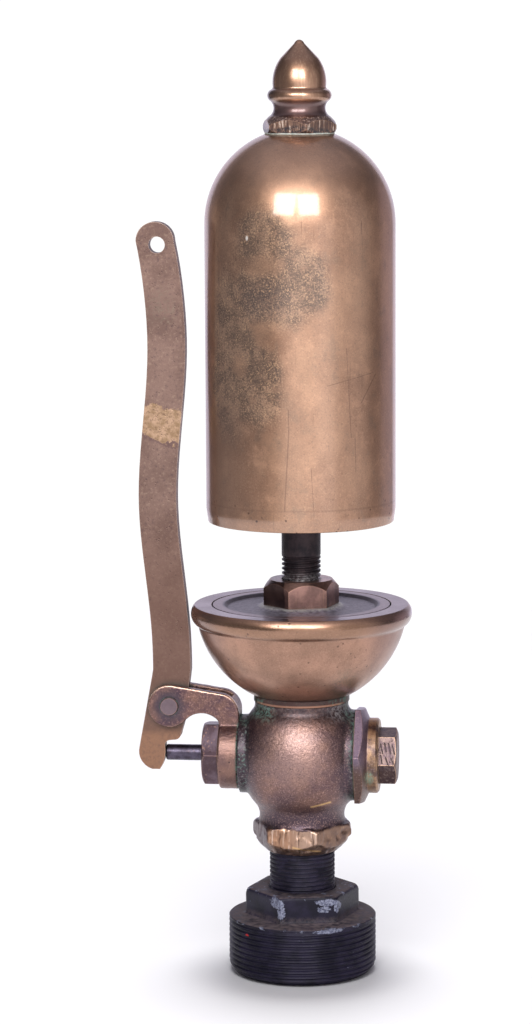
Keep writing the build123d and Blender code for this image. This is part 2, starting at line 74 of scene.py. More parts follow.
def tint(code):
    """Linear colour of a six-digit sRGB code."""
    parts = [int(code[at:at + 2], 16) / 255 for at in (0, 2, 4)]
    return tuple(p / 12.92 if p < 0.04045 else ((p + 0.055) / 1.055) ** 2.4 for p in parts)


def put(tree, value, socket):
    """The value is another node's output, a colour's code, a number or a vector."""
    if isinstance(value, bpy.types.NodeSocket):
        tree.links.new(value, socket)
    elif socket.type == "RGBA":
        socket.default_value = (*tint(value), 1)
    else:
        socket.default_value = value


def add_node(tree, kind, values=(), **properties):
    """Adds a node with these input values, and returns its outputs."""
    node = tree.nodes.new("ShaderNode" + kind)
    for key, value in properties.items():
        setattr(node, key, value)
    for key, value in dict(values).items():
        put(tree, value, node.inputs[key])
    return node.outputs


# ---------------------------------------------------------------- camera and light

CAMERA_AZIMUTH = 5.4
CAMERA_ELEVATION = 7.94
CAMERA_DISTANCE = 1.35
CAMERA_ROLL = math.radians(-0.3)
CAMERA_LENS = 117.8
AIM_HEIGHT = 0.1889
AIM_LEFT = 0.0141           # the whistle stands a little right of the middle of the picture

KEY_AZIMUTH = 1.0
KEY_ELEVATION = 29.0
KEY_DISTANCE = 1.9
KEY_AIM = 0.2
KEY_SIZE = (0.82, 0.86)
KEY_GAP = 0.11
KEY_POWER = 19.0
FLOOR_RADIUS = 0.9
FLOOR_GAP = 0.0002
FLOOR_COLOUR = (0.86, 0.86, 0.87, 1)
FLOOR_ROUGHNESS = 0.7
FLOOR_SUNS = [              # name, lean towards the front in degrees, spread in degrees, power
    ("overhead", -4.5, 13.0, 1.95), ("front", 26.0, 20.0, 1.0),
]

WALL_STRENGTH = 1.05        # the plain white that the camera sees

# What the whistle reflects: each lobe's azimuth and elevation, the angles where it starts and where it is
# full, and its colour
STUDIO_BASE = (0.11, 0.105, 0.12)
STUDIO_LOBES = [
    (-173, 0, 36, 29, (0.92, 0.88, 1.08)),
    (-121, 0, 11, 5, (0.30, 0.20, 0.13)),
    (136, 0, 22, 8, (0.36, 0.29, 0.34)),
    (14, -14, 42, 16, (0.86, 0.84, 0.85)),
    (60, 4, 46, 16, (0.52, 0.49, 0.48)),
    (-75, 0, 45, 15, (0.10, 0.10, 0.10)),
    (0, 90, 60, 20, (0.32, 0.31, 0.35)),
]


def direction(azimuth, elevation):
    """Unit vector from the object for angles in degrees. Azimuth 0 is the front, and 90 is +X."""
    azimuth, elevation = math.radians(azimuth), math.radians(elevation)
    flat = math.cos(elevation)
    return Vector((math.sin(azimuth) * flat, -math.cos(azimuth) * flat, math.sin(elevation)))


def new_object(name, data):
    thing = bpy.data.objects.new(name, data)
    bpy.context.scene.collection.objects.link(thing)
    return thing


def add_camera():
    data = bpy.data.cameras.new("camera")
    data.lens = CAMERA_LENS
    data.sensor_width = 36.0
    data.clip_start = 0.01
    camera = new_object("camera", data)
    right = direction(CAMERA_AZIMUTH + 90, 0)
    centre = Vector((0, 0, AIM_HEIGHT))
    camera.location = centre + direction(CAMERA_AZIMUTH, CAMERA_ELEVATION) * CAMERA_DISTANCE
    gaze = centre - right * AIM_LEFT - camera.location
    turn = gaze.to_track_quat("-Z", "Y").to_matrix().to_4x4()
    camera.rotation_euler = (turn @ Matrix.Rotation(CAMERA_ROLL, 4, "Z")).to_euler()
    bpy.context.scene.camera = camera


def softbox(name, place, aim, size, power):
    data = bpy.data.lights.new(name, "AREA")
    data.shape = "RECTANGLE"
    data.size, data.size_y = size
    data.energy = power
    light = new_object(name, data)
    light.location = place
    light.rotation_euler = (aim - place).to_track_quat("-Z", "Y").to_euler()
    light.visible_camera = False
    return light


def linked_group(name, objects, state):
    """A collection for light linking, which includes only the objects or excludes them."""
    group = bpy.data.collections.new(name)
    for thing in objects:
        group.objects.link(thing)
    for link in group.collection_objects:
        link.light_linking.link_state = state
    return group


def add_lights(floor, unshaded):
    """Two key softboxes on the whistle, and suns on the floor. The unshaded things don't block the suns, so
    the floor has one soft shadow round the base."""
    aim = Vector((0, 0, KEY_AIM))
    across = Vector((1, 0, 0))
    for side, name in ((-1, "key_left"), (1, "key_right")):
        centre = aim + direction(KEY_AZIMUTH, KEY_ELEVATION) * KEY_DISTANCE
        place = centre + across * side * (KEY_SIZE[0] + KEY_GAP) / 2
        light = softbox(name, place, aim, KEY_SIZE, KEY_POWER)
        light.light_linking.receiver_collection = linked_group(name + "_lit", [floor], "EXCLUDE")
    for name, lean, spread, power in FLOOR_SUNS:
        data = bpy.data.lights.new(name, "SUN")
        data.energy = power
        data.angle = math.radians(spread)
        sun = new_object(name, data)
        sun.rotation_euler = (math.radians(lean), 0, 0)
        sun.light_linking.receiver_collection = linked_group(name + "_lit", [floor], "INCLUDE")
        sun.light_linking.blocker_collection = linked_group(name + "_shade", unshaded, "EXCLUDE")


def add_floor():
    place = (0, 0, -FLOOR_GAP)
    bpy.ops.mesh.primitive_circle_add(vertices=96, radius=FLOOR_RADIUS, fill_type="NGON", location=place)
    floor = bpy.context.object
    floor.name = "floor"
    material = bpy.data.materials.new("pale_floor")
    material.use_nodes = True
    shader = material.node_tree.nodes["Principled BSDF"]
    shader.inputs["Base Color"].default_value = FLOOR_COLOUR
    shader.inputs["Roughness"].default_value = FLOOR_ROUGHNESS
    floor.data.materials.append(material)
    return floor


def add_surroundings():
    """The camera sees plain white, and the whistle reflects the studio's lobes."""
    world = bpy.data.worlds.new("studio")
    bpy.context.scene.world = world
    world.use_nodes = True
    tree = world.node_tree
    tree.nodes.clear()
    gaze = add_node(tree, "TexCoord")["Generated"]
    level = STUDIO_BASE
    for azimuth, elevation, outer, inner, colour in STUDIO_LOBES:
        sides = {0: gaze, 1: direction(azimuth, elevation)}
        dot = add_node(tree, "VectorMath", sides, operation="DOT_PRODUCT")["Value"]
        start, full = math.cos(math.radians(outer)), math.cos(math.radians(inner))
        limits = {"Value": dot, "From Min": start, "From Max": full}
        step = add_node(tree, "MapRange", limits, interpolation_type="SMOOTHSTEP")[0]
        level = add_node(tree, "VectorMath", {0: step, 1: colour, 2: level}, operation="MULTIPLY_ADD")[0]
    room = add_node(tree, "Background", {"Color": level})[0]
    plain = add_node(tree, "Background", {"Color": "ffffff", "Strength": WALL_STRENGTH})[0]
    seen = add_node(tree, "LightPath")["Is Camera Ray"]
    both = add_node(tree, "MixShader", {0: seen, 1: room, 2: plain})[0]
    add_node(tree, "OutputWorld", {"Surface": both})
    bpy.context.scene.view_settings.view_transform = "Standard"


# ---------------------------------------------------------------- materials

BRONZE = "c79d80"
BRIGHT_BRONZE = "dbac8c"
BROWN_BRONZE = "a98168"
DARK_BRONZE = "5a453c"
STAIN = "8c7969"
STAIN_DARK = "675c54"
VERDIGRIS = "5d8577"
GRIME = "2a2a30"
BLACK_PAINT = "110f1d"
DUST = "6b5f60"
CHIP = "8d90a3"


class Surface:
    """Builds one material's nodes. Positions and sizes are in the object's own millimetres."""

    def __init__(self, name):
        self.material = bpy.data.materials.new(name)
        self.material.use_nodes = True
        self.tree = self.material.node_tree
        self.shader = self.tree.nodes["Principled BSDF"]
        place = self.add("TexCoord", output="Object")
        self.place = self.vector("SCALE", place, scale=1 / MM)
        self.x, self.y, self.z = self.split(self.place)

    def shade(self, name, value):
        put(self.tree, value, self.shader.inputs[name])

    def add(self, kind, values=(), output=0, **properties):
        return add_node(self.tree, kind, values, **properties)[output]

    def vector(self, operation, a, b=(0, 0, 0), c=(0, 0, 0), scale=1.0, output=0):
        return self.add("VectorMath", {0: a, 1: b, 2: c, 3: scale}, output, operation=operation)

    def split(self, vector):
        """The X, Y and Z of a vector."""
        return list(add_node(self.tree, "SeparateXYZ", {0: vector}))

    def math(self, operation, a, b=0.0, clamp=False):
        return self.add("Math", {0: a, 1: b}, operation=operation, use_clamp=clamp)

    def ramp(self, value, low, high, start=0.0, end=1.0):
        limits = {"Value": value, "From Min": low, "From Max": high, "To Min": start, "To Max": end}
        return self.add("MapRange", limits, interpolation_type="SMOOTHSTEP")

    def blend(self, factor, a, b):
        """A colour between a and b."""
        return self.add("Mix", {0: factor, 6: a, 7: b}, 2, data_type="RGBA")

    def cover(self, mask, colour, share=1.0):
        """Lays a colour over the surface's own where the mask is, at most by the share."""
        if share < 1.0:
            mask = self.both(mask, share)
        self.colour = self.blend(mask, self.colour, colour)

    def vary(self, value, low, high):
        """A number that follows a noise from low to high."""
        return self.ramp(value, 0.3, 0.7, low, high)

    def fleck(self, value, low, high, share, colour):
        """Lays a colour over the surface's own as the value goes from low to high, up to the share."""
        self.cover(self.ramp(value, low, high, 0.0, share), colour)

    def between(self, factor, a, b):
        """A number between a and b."""
        return self.add("Mix", {0: factor, 2: a, 3: b}, 0, data_type="FLOAT")

    def plus(self, a, b):
        return self.math("ADD", a, b)

    def minus(self, a, b):
        return self.math("SUBTRACT", a, b)

    def absolute(self, value):
        return self.math("ABSOLUTE", value)

    def both(self, *masks):
        """The product of masks or numbers."""
        result = masks[0]
        for mask in masks[1:]:
            result = self.math("MULTIPLY", result, mask)
        return result

    def either(self, *masks):
        result = masks[0]
        for mask in masks[1:]:
            result = self.math("MAXIMUM", result, mask)
        return result

    def inverse(self, mask):
        return self.minus(1.0, mask)

    def noise(self, size, detail=3.0, roughness=0.55, stretch=(1, 1, 1), shift=0.0, distortion=0.0):
        """Noise from 0 to 1 with features of about that many millimetres."""
        vector = self.vector("MULTIPLY_ADD", self.place, stretch, (shift, shift * 1.7, shift * 0.6))
        values = {"Vector": vector, "Scale": 1 / size, "Detail": detail, "Roughness": roughness,
                  "Distortion": distortion}
        return self.add("TexNoise", values)

    def cells(self, size, shift):
        """Distance to the nearest of many scattered points, in cell sizes."""
        vector = self.vector("ADD", self.place, (shift, shift, shift))
        return self.add("TexVoronoi", {"Vector": vector, "Scale": 1 / size})

    def pits(self, size, share, shift):
        """Scattered round pits: size is their spacing, and share how much of it each one fills."""
        spots = self.ramp(self.cells(size, shift), share, share * 0.4)
        gate = self.ramp(self.noise(size * 2.2, 1.0, shift=shift + 9.0), 0.5, 0.58)
        return self.both(spots, gate)

    def band(self, value, low, high, soft):
        return self.both(self.ramp(value, low - soft, low + soft), self.ramp(value, high + soft, high - soft))

    def blotch(self, centre, radii, soft=0.25, ragged=0.5, grain=4.0, shift=0.0):
        """An ellipsoid mask with a ragged edge."""
        offset = self.vector("SUBTRACT", self.place, centre)
        scaled = self.vector("DIVIDE", offset, radii)
        distance = self.vector("LENGTH", scaled, output=1)
        wobble = self.minus(self.noise(grain, 6.0, 0.65, shift=shift), 0.5)
        return self.ramp(self.plus(distance, self.both(wobble, ragged * 2)), 1 + soft, 1 - soft)

    def line(self, start, end, width):
        """A scratch between two points, seen along Y."""
        flat = self.vector("MULTIPLY", self.place, (1, 0, 1))
        along = Vector(end) - Vector(start)
        offset = self.vector("SUBTRACT", flat, start)
        share = self.vector("DOT_PRODUCT", offset, tuple(along / along.length_squared), output=1)
        share = self.math("ADD", share, 0.0, clamp=True)
        step = self.vector("SCALE", tuple(along), scale=share)
        distance = self.vector("DISTANCE", offset, step, output=1)
        distance = self.plus(distance, self.both(self.noise(1.3, 2.0), 0.25))
        return self.ramp(distance, width + 0.28, 0.12)

    def edges(self, radius, low=0.995, high=0.9):
        """Convex and concave edges, found within a radius."""
        rounded = self.add("Bevel", {"Radius": radius * MM}, samples=4)
        true = self.add("NewGeometry", output="Normal")
        return self.ramp(self.vector("DOT_PRODUCT", rounded, true, output=1), low, high)

    def crevices(self, reach, low=0.75, high=0.35):
        """Corners and joints that are closed in within a reach."""
        openness = self.add("AmbientOcclusion", {"Distance": reach * MM}, "AO", samples=6)
        return self.ramp(openness, low, high)

    def grimy_crevices(self, reach, size, shift, least):
        """Crevices broken up by noise of that size, down to the least share."""
        broken = self.ramp(self.noise(size, 4.0, shift=shift), 0.25, 0.6, least, 1.0)
        return self.both(self.crevices(reach), broken)

    def facing_up(self, low, high):
        normal = self.add("NewGeometry", output="Normal")
        return self.ramp(self.split(normal)[2], low, high)

    def finish(self, roughness, metallic, height, depth, coat=0.0, haze=0.2, index=1.5):
        """Joins it all up. The bump is depth millimetres where height is 1. The clear coat has a weight, a
        roughness (haze) and a refractive index."""
        bump = self.add("Bump", {"Height": height, "Distance": depth * MM, "Strength": 1.0})
        values = {"Base Color": self.colour, "Roughness": roughness, "Metallic": metallic, "Normal": bump,
                  "Coat Weight": coat, "Coat Roughness": haze, "Coat IOR": index}
        for name, value in values.items():
            self.shade(name, value)
        return self.material


BELL_STAINS = [             # centres and radii
    ((-9, -36, 279), (20, 20, 14)), ((5, -37, 284), (10, 12, 14)), ((-24, -29, 258), (10, 14, 34)),
    ((-17, -34, 244), (14, 17, 19)), ((-27, -26, 244), (8, 12, 20)), ((-11, -36, 300), (12, 12, 13)),
]
BELL_WORN = [               # where the stain is rubbed through
    ((-12.5, -36, 290.5), (8, 10, 4)), ((-10, -36, 263.5), (5, 10, 4.5)), ((-21, -31, 250.5), (3, 8, 3.5)),
]
BELL_SCRATCHES = [          # ends and width
    ((-1.3, 0, 234.4), (-1.1, 0, 225.7), 0.30), ((-1.1, 0, 225.7), (-2.9, 0, 194.2), 0.34),
    ((31.7, 0, 246.9), (26.6, 0, 236.3), 0.16), ((30.9, 0, 247.7), (13.7, 0, 243.4), 0.08),
    ((21.1, 0, 257.8), (22.8, 0, 222.6), 0.08), ((24.2, 0, 222.6), (24.5, 0, 208.8), 0.06),
    ((7.6, 0, 210.8), (8.5, 0, 194.2), 0.08),
]


def bell_finish():
    """Turned bronze with a mottled grey-olive stain at the front, scratches and a few pits."""
    s = Surface("bell_bronze_aged")
    front = s.ramp(s.y, 4.0, -4.0)
    clouds = s.noise(30.0, 5.0, 0.6, (1, 1, 0.6))
    mottle = s.noise(9.0, 8.0, 0.7, shift=3.0)
    grain = s.noise(0.62, 3.0, 0.75, shift=7.0)
    curls = s.noise(3.2, 7.0, 0.78, shift=13.0, distortion=0.8)
    s.colour = s.blend(s.ramp(clouds, 0.35, 0.68), BROWN_BRONZE, BRONZE)
    s.fleck(mottle, 0.5, 0.66, 0.4, BRIGHT_BRONZE)
    s.fleck(mottle, 0.46, 0.34, 0.3, STAIN)
    s.fleck(grain, 0.54, 0.7, 0.4, "e3bd9a")
    s.fleck(grain, 0.46, 0.3, 0.4, STAIN_DARK)
    patches = s.either(*[s.blotch(*spot, 0.3, 0.5, 11.0, shift) for shift, spot in enumerate(BELL_STAINS)])
    worn = s.either(*[s.blotch(*spot, 0.5, 0.8, 6.0, 30.0 + shift) for shift, spot in enumerate(BELL_WORN)])
    patches = s.both(patches, s.inverse(s.both(worn, 0.6)), s.ramp(curls, 0.36, 0.5, 0.55, 1.0))
    back = s.both(s.inverse(front), s.ramp(s.noise(26.0, 8.0, 0.7, shift=21.0), 0.52, 0.6))
    stain = s.either(s.both(patches, front), s.both(back, 0.5))
    stain_colour = s.blend(s.ramp(mottle, 0.42, 0.6), "5e5048", "957b68")
    core = s.blotch((-11, -36, 277), (10, 14, 8), 0.6, 0.6, 5.0, 60.0)
    stain_colour = s.blend(s.both(core, 0.7), stain_colour, "4d4b4f")
    stain_colour = s.blend(s.ramp(grain, 0.48, 0.36, 0.0, 0.6), stain_colour, "332e2c")
    golden = s.both(s.ramp(grain, 0.5, 0.62), s.ramp(curls, 0.4, 0.6, 0.25, 1.0))
    stain_colour = s.blend(s.both(golden, 0.75), stain_colour, "deb38b")
    s.cover(stain, stain_colour, 0.82)
    marks = s.either(*[s.line(*scratch) for scratch in BELL_SCRATCHES])
    hairs = s.ramp(s.noise(0.8, 2.0, 0.5, (1, 1, 0.02), 30.0), 0.62, 0.72)
    hairs = s.both(hairs, s.ramp(s.noise(24.0, 3.0, shift=31.0), 0.45, 0.6))
    ticks = s.ramp(s.noise(1.3, 1.0, 0.5, (1, 1, 0.05), 41.0), 0.66, 0.72)
    ticks = s.both(ticks, s.band(s.z, 302.0, 307.5, 1.6))
    pits = s.both(s.pits(2.6, 0.26, 50.0), s.ramp(s.z, 202.0, 188.0, 0.15, 1.0))
    # painted shade: a faint dark line round the bell where the lip's chamfer begins; it joins the real
    # scratches, hairs and pits in the dark marks
    lip = s.band(s.z, 193.8, 194.6, 0.4)
    dark = s.either(s.both(marks, front, 0.45), s.both(hairs, 0.25),
                    s.both(ticks, 0.5), s.both(lip, 0.2), pits)
    s.cover(dark, DARK_BRONZE)
    # painted shade: the lower left of the bell darkened
    painted_shade_low_left = s.both(s.ramp(s.x, -14.0, -26.0), s.ramp(s.z, 244.0, 226.0))
    s.cover(painted_shade_low_left, "7d6153", 0.4)
    # painted light: a lighter golden band round the top of the dome
    painted_light_crown = s.both(s.ramp(s.z, 313.0, 322.0), s.ramp(s.z, 338.0, 330.0))
    s.cover(painted_light_crown, "d0a488", 0.35)
    # painted highlight: a small near-white glint on the bell's front
    painted_glint = s.blotch((-17.6, -33.8, 300.9), (0.5, 2.0, 0.9), 0.3, 0.2, 1.0)
    s.cover(painted_glint, "fff6ec")
    roughness = s.between(stain, s.ramp(mottle, 0.2, 0.8, 0.36, 0.44), 0.5)
    roughness = s.between(dark, roughness, 0.6)
    height = s.minus(s.both(grain, s.between(stain, 0.35, 1.0)), dark)
    return s.finish(roughness, s.between(stain, 1.0, 0.88), height, 0.035, coat=0.6, haze=0.11, index=1.9)


def turned_bronze(name, base, shade, rough, wear=0.0):
    """Bronze or brass turned about X: fine rings, soft colour clouds, dark joints and worn edges."""
    s = Surface(name)
    clouds = s.noise(14.0, 5.0, 0.62)
    grain = s.noise(0.8, 4.0, 0.7, shift=4.0)
    rings = s.noise(0.45, 2.0, 0.5, (1, 0.04, 0.04), 8.0)
    s.colour = s.blend(s.ramp(clouds, 0.32, 0.7), shade, base)
    s.fleck(grain, 0.56, 0.78, 0.4, DARK_BRONZE)
    pits = s.pits(2.2, 0.24, 15.0)
    closed = s.grimy_crevices(3.0, 1.6, 6.0, 0.45)
    s.cover(closed, GRIME, 0.7)
    s.cover(pits, DARK_BRONZE, 0.7)
    if wear:
        s.cover(s.edges(0.5), BRIGHT_BRONZE, wear)
    height = s.minus(s.plus(s.both(rings, 0.5), s.both(grain, 0.3)), pits)
    roughness = s.between(closed, s.vary(clouds, rough + 0.08, rough), 0.65)
    return s.finish(roughness, s.between(closed, 1.0, 0.6), height, 0.03, coat=0.25, haze=0.14)


def acorn_finish():
    """Smooth golden dome, a purple-brown neck, and a hexagon with wrench marks and blue-black grime."""
    s = Surface("acorn_bronze_polished")
    clouds = s.noise(12.0, 5.0, 0.6)
    grain = s.noise(0.9, 4.0, 0.7, shift=4.0)
    brushed = s.noise(0.7, 3.0, 0.6, (1, 1, 0.08), 17.0)
    s.colour = s.blend(s.ramp(clouds, 0.35, 0.66), "a47e66", "bd9379")
    s.fleck(brushed, 0.5, 0.64, 0.35, "d8b393")
    s.fleck(grain, 0.56, 0.7, 0.25, DARK_BRONZE)
    # painted shade: the left side of the acorn darkened
    left = s.ramp(s.x, -7.0, -11.5)
    s.cover(left, "4f4345", 0.7)
    wander = s.both(s.noise(2.5, 4.0, shift=21.0), 1.2)
    neck = s.ramp(s.minus(s.z, wander), 353.0, 352.2)
    s.cover(neck, "6a5356", 0.85)
    hexagon = s.ramp(s.minus(s.z, wander), 347.0, 346.4)
    streaks = s.noise(0.75, 3.0, 0.65, (1, 1, 0.12), 11.0)
    hex_colour = s.blend(s.ramp(streaks, 0.4, 0.6), "6f5750", "a98672")
    hex_colour = s.blend(s.ramp(streaks, 0.58, 0.66), hex_colour, "ffe9d8")
    s.cover(hexagon, hex_colour)
    # painted reflection: a mauve-grey strip at the hexagon's left edge
    edge = s.both(s.ramp(s.x, -13.2, -13.8), hexagon)
    s.cover(edge, "6d6673", 0.7)
    low = s.ramp(s.plus(s.z, s.both(s.absolute(s.x), 0.12)), 344.6, 343.2)
    grime = s.both(low, s.ramp(s.noise(1.4, 5.0, 0.7, shift=6.0), 0.4, 0.54))
    s.cover(grime, "282a33", 0.85)
    joint = s.grimy_crevices(2.5, 1.4, 9.0, 0.3)
    s.cover(joint, GRIME, 0.7)
    s.cover(s.both(s.edges(0.4), s.inverse(grime)), BRIGHT_BRONZE)
    height = s.plus(s.both(streaks, hexagon, 1.6), s.both(brushed, 0.25))
    roughness = s.between(s.either(grime, joint), s.between(s.either(hexagon, neck), 0.34, 0.42), 0.7)
    return s.finish(roughness, s.between(grime, 1.0, 0.6), height, 0.06, coat=0.5, haze=0.12, index=1.8)


def wrench_bronze(name, base, shade, rough, wear, coat, mark_gain, dark_left=None):
    """Hexagon facets: wrench marks that run along Z, worn bright edges and grime. dark_left is the X below
    which the facets are darkened with painted shade."""
    s = Surface(name)
    clouds = s.noise(9.0, 5.0, 0.6)
    grain = s.noise(0.6, 4.0, 0.7, shift=4.0)
    s.colour = s.blend(s.ramp(clouds, 0.35, 0.65), shade, base)
    streaks = s.noise(0.8, 2.0, 0.5, (1, 1, 0.06), 11.0)
    bright = s.both(s.ramp(streaks, 0.58, 0.68), s.ramp(s.noise(5.0, 3.0, shift=2.0), 0.42, 0.6))
    gouges = s.both(s.ramp(streaks, 0.4, 0.3), s.ramp(s.noise(6.0, 3.0, shift=5.0), 0.48, 0.6))
    s.cover(bright, BRIGHT_BRONZE, mark_gain * 0.7)
    s.cover(gouges, DARK_BRONZE, mark_gain)
    if dark_left is not None:
        # painted shade: left of dark_left the facets are darkened
        painted_left_shade = s.ramp(s.plus(s.x, s.both(clouds, 2.0)), dark_left + 1.2, dark_left + 0.4, 0.0, 0.75)
        s.cover(painted_left_shade, "3a2b2c")
    s.cover(s.edges(0.45), BRIGHT_BRONZE, wear)
    closed = s.grimy_crevices(2.5, 1.4, 6.0, 0.4)
    s.cover(closed, GRIME, 0.8)
    height = s.plus(s.minus(s.both(bright, 0.4), gouges), s.both(grain, 0.35))
    roughness = s.between(closed, s.vary(grain, rough, rough + 0.14), 0.7)
    return s.finish(roughness, s.between(closed, 1.0, 0.6), height, 0.06, coat=coat)


def bonnet_finish():
    """Hexagon flange, purple-silver above and brown below as a painted reflection, and a collar with golden
    worn spots.
    """
    s = Surface("bonnet_bronze")
    clouds = s.noise(6.0, 5.0, 0.65)
    grain = s.noise(0.8, 4.0, 0.75, shift=4.0)
    # painted reflection: the flange goes from brown below to purple-silver above
    height = s.plus(s.z, s.both(clouds, 8.0))
    s.colour = s.blend(s.ramp(height, 88.0, 96.0), "665049", "827182")
    collar = s.ramp(s.x, COLLAR_START - 0.3, COLLAR_START + 0.3)
    collar_colour = s.blend(s.ramp(clouds, 0.38, 0.62), "64504c", "b39070")
    s.cover(collar, collar_colour)
    s.fleck(grain, 0.54, 0.66, 0.45, "c0a6a0")
    s.fleck(grain, 0.45, 0.34, 0.6, "3d3338")
    s.cover(s.edges(0.5), BRIGHT_BRONZE, 0.35)
    closed = s.crevices(3.0)
    s.cover(closed, GRIME, 0.85)
    green = s.both(s.blotch((28.5, -15, 82.5), (1.6, 6, 3.0), 0.4, 0.6, 1.5), s.ramp(grain, 0.4, 0.55))
    s.cover(green, "93a08c")
    roughness = s.between(closed, s.vary(grain, 0.38, 0.52), 0.75)
    return s.finish(roughness, s.between(closed, 1.0, 0.6), grain, 0.09, coat=0.2)


PLUG_MARKS = [              # ends and width of the wrench's bites
    ((32.6, 0, 95.8), (33.6, 0, 92.2), 0.2), ((34.2, 0, 96.2), (35.0, 0, 93.0), 0.25),
    ((35.8, 0, 96.0), (36.7, 0, 92.4), 0.3), ((37.4, 0, 95.2), (38.4, 0, 92.0), 0.2),
    ((32.8, 0, 91.4), (33.4, 0, 88.4), 0.2), ((34.8, 0, 90.6), (35.9, 0, 87.6), 0.25),
    ((37.0, 0, 90.4), (38.4, 0, 87.2), 0.3),
]


def plug_finish():
    """The small hexagon: a scratched bright facet at the front, dark ones round it, and painted shade on the
    lower facets.
    """
    s = Surface("plug_bronze")
    clouds = s.noise(4.0, 5.0, 0.65)
    streaks = s.noise(0.9, 4.0, 0.7, (1, 1, 0.25), 4.0)
    s.colour = s.blend(s.ramp(clouds, 0.4, 0.6), "5c4b50", "7d6864")
    # painted shade: the lower facets darkened
    painted_shade_lower = s.ramp(s.z, 85.6, 84.6)
    s.cover(painted_shade_lower, "4a3434", 0.6)
    s.fleck(streaks, 0.52, 0.64, 0.6, "a08c84")
    marks = s.both(s.either(*[s.line(*mark) for mark in PLUG_MARKS]), s.ramp(s.y, -5.0, -7.0))
    marks = s.either(marks, s.ramp(streaks, 0.4, 0.33, 0.0, 0.7))
    s.cover(s.both(marks, s.ramp(clouds, 0.36, 0.6, 0.3, 0.9)), "221a1f")
    s.cover(s.edges(0.5, 0.99, 0.92), "e0b896", 0.9)
    closed = s.crevices(2.0)
    s.cover(closed, GRIME, 0.8)
    height = s.minus(s.both(streaks, 0.5), marks)
    return s.finish(s.vary(streaks, 0.4, 0.55), 1.0, height, 0.12, coat=0.1, haze=0.25)


def body_finish():
    """The valve body: cast globe above, and a hexagon foot that wrenches have worn bright."""
    s = Surface("valve_body_casting")
    clouds = s.noise(11.0, 5.0, 0.62)
    grain = s.noise(1.0, 3.0, 0.75, shift=4.0)
    fine = s.noise(0.6, 3.0, 0.75, shift=54.0)
    s.colour = s.blend(s.ramp(clouds, 0.36, 0.64), "6b5254", "88675c")
    # painted highlight: a pale pink blotch on the front of the globe
    centre = s.blotch((-3, -24, 95), (13, 14, 13), 0.7, 0.3, 6.0)
    s.cover(centre, "caa79c", 0.4)
    # painted shade: darker purple towards the sides and the lower globe
    sides = s.ramp(s.absolute(s.x), 11.0, 21.0)
    low = s.ramp(s.plus(s.z, s.both(clouds, 8.0)), 81.0, 70.0)
    s.cover(s.either(sides, low), "493c48", 0.85)
    s.fleck(grain, 0.56, 0.72, 0.4, "c9a092")
    s.fleck(fine, 0.54, 0.66, 0.5, "c9a59a")
    s.fleck(fine, 0.45, 0.34, 0.6, "3d3135")
    closed = s.crevices(6.0, 0.85, 0.45)
    # the neck under the bowl's foot is darkened: partly grime, partly painted shade; crust also grows there
    neck = s.both(s.ramp(s.z, 103.5, 109.0), s.ramp(s.noise(2.5, 5.0, 0.7, shift=24.0), 0.3, 0.55, 0.55, 1.0))
    outer = s.ramp(s.absolute(s.minus(s.x, 1.5)), 9.0, 14.0, 0.15, 1.0)
    crust = s.both(s.either(closed, neck), s.ramp(s.noise(1.4, 5.0, 0.75, shift=14.0), 0.44, 0.56), outer)
    s.cover(s.either(closed, neck), "332c34", 0.8)
    # painted shade on the side bosses, where crust also grows
    boss = s.ramp(s.absolute(s.x), 19.5, 21.5)
    s.cover(boss, "3d353d", 0.7)
    crust = s.either(crust, s.both(boss, s.ramp(grain, 0.5, 0.62, 0.0, 0.75)))
    green = s.both(s.either(s.ramp(s.x, -6.0, -12.0), s.ramp(s.x, 16.0, 20.0)), s.ramp(clouds, 0.42, 0.55))
    s.cover(crust, s.blend(green, "857f80", VERDIGRIS), 0.7)
    wander = s.both(s.noise(3.0, 4.0), 3.0)
    foot = s.ramp(s.plus(s.z, wander), FOOT_TOP + 1.3, FOOT_TOP + 0.7)
    streaks = s.noise(1.1, 3.0, 0.55, (1, 1, 0.06), 11.0)
    scuffs = s.noise(1.6, 5.0, 0.75, shift=44.0)
    foot_colour = s.blend(s.ramp(clouds, 0.4, 0.6), "6f5953", "8d705f")
    foot_colour = s.blend(s.ramp(scuffs, 0.55, 0.66, 0.0, 0.5), foot_colour, "c59a78")
    # painted shade: the foot's left facet greyed and darkened
    left = s.ramp(s.x, -11.5, -13.5)
    foot_colour = s.blend(s.both(left, 0.8), foot_colour, "5d5059")
    s.cover(s.both(foot, s.inverse(closed)), foot_colour)
    below = s.ramp(s.plus(s.z, wander), FOOT_TOP + 1.0, FOOT_TOP + 0.6)
    worn = s.both(s.ramp(s.y, -15.0, -16.5), below, s.band(s.x, -12.6, 8.4, 0.4))
    worn_colour = s.blend(s.ramp(s.x, -6.0, 3.0), "ab8369", "b89884")
    worn_colour = s.blend(s.ramp(streaks, 0.52, 0.66, 0.0, 0.7), worn_colour, "ecd2c0")
    worn_colour = s.blend(s.ramp(streaks, 0.41, 0.33, 0.0, 0.85), worn_colour, "5c463c")
    worn_colour = s.blend(s.ramp(scuffs, 0.42, 0.34, 0.0, 0.6), worn_colour, "7d6252")
    s.cover(worn, worn_colour)
    cut = s.both(s.line((-2.0, 0, 54.6), (8.6, 0, 52.4), 0.5), s.ramp(s.y, -10.0, -12.0))
    gouge = s.both(s.line((5.6, 0, 72.0), (13.0, 0, 73.6), 0.55), s.ramp(s.y, 0.0, -4.0))
    s.cover(s.either(gouge, cut), "d8b07c")
    height = s.between(foot, grain, s.plus(s.both(streaks, 0.7), s.both(scuffs, 0.4)))
    roughness = s.between(closed, s.vary(grain, 0.36, 0.52), 0.85)
    roughness = s.between(worn, roughness, 0.42)
    metallic = s.between(crust, s.between(closed, 1.0, 0.7), 0.1)
    return s.finish(roughness, metallic, height, 0.17, coat=0.35, haze=0.3)


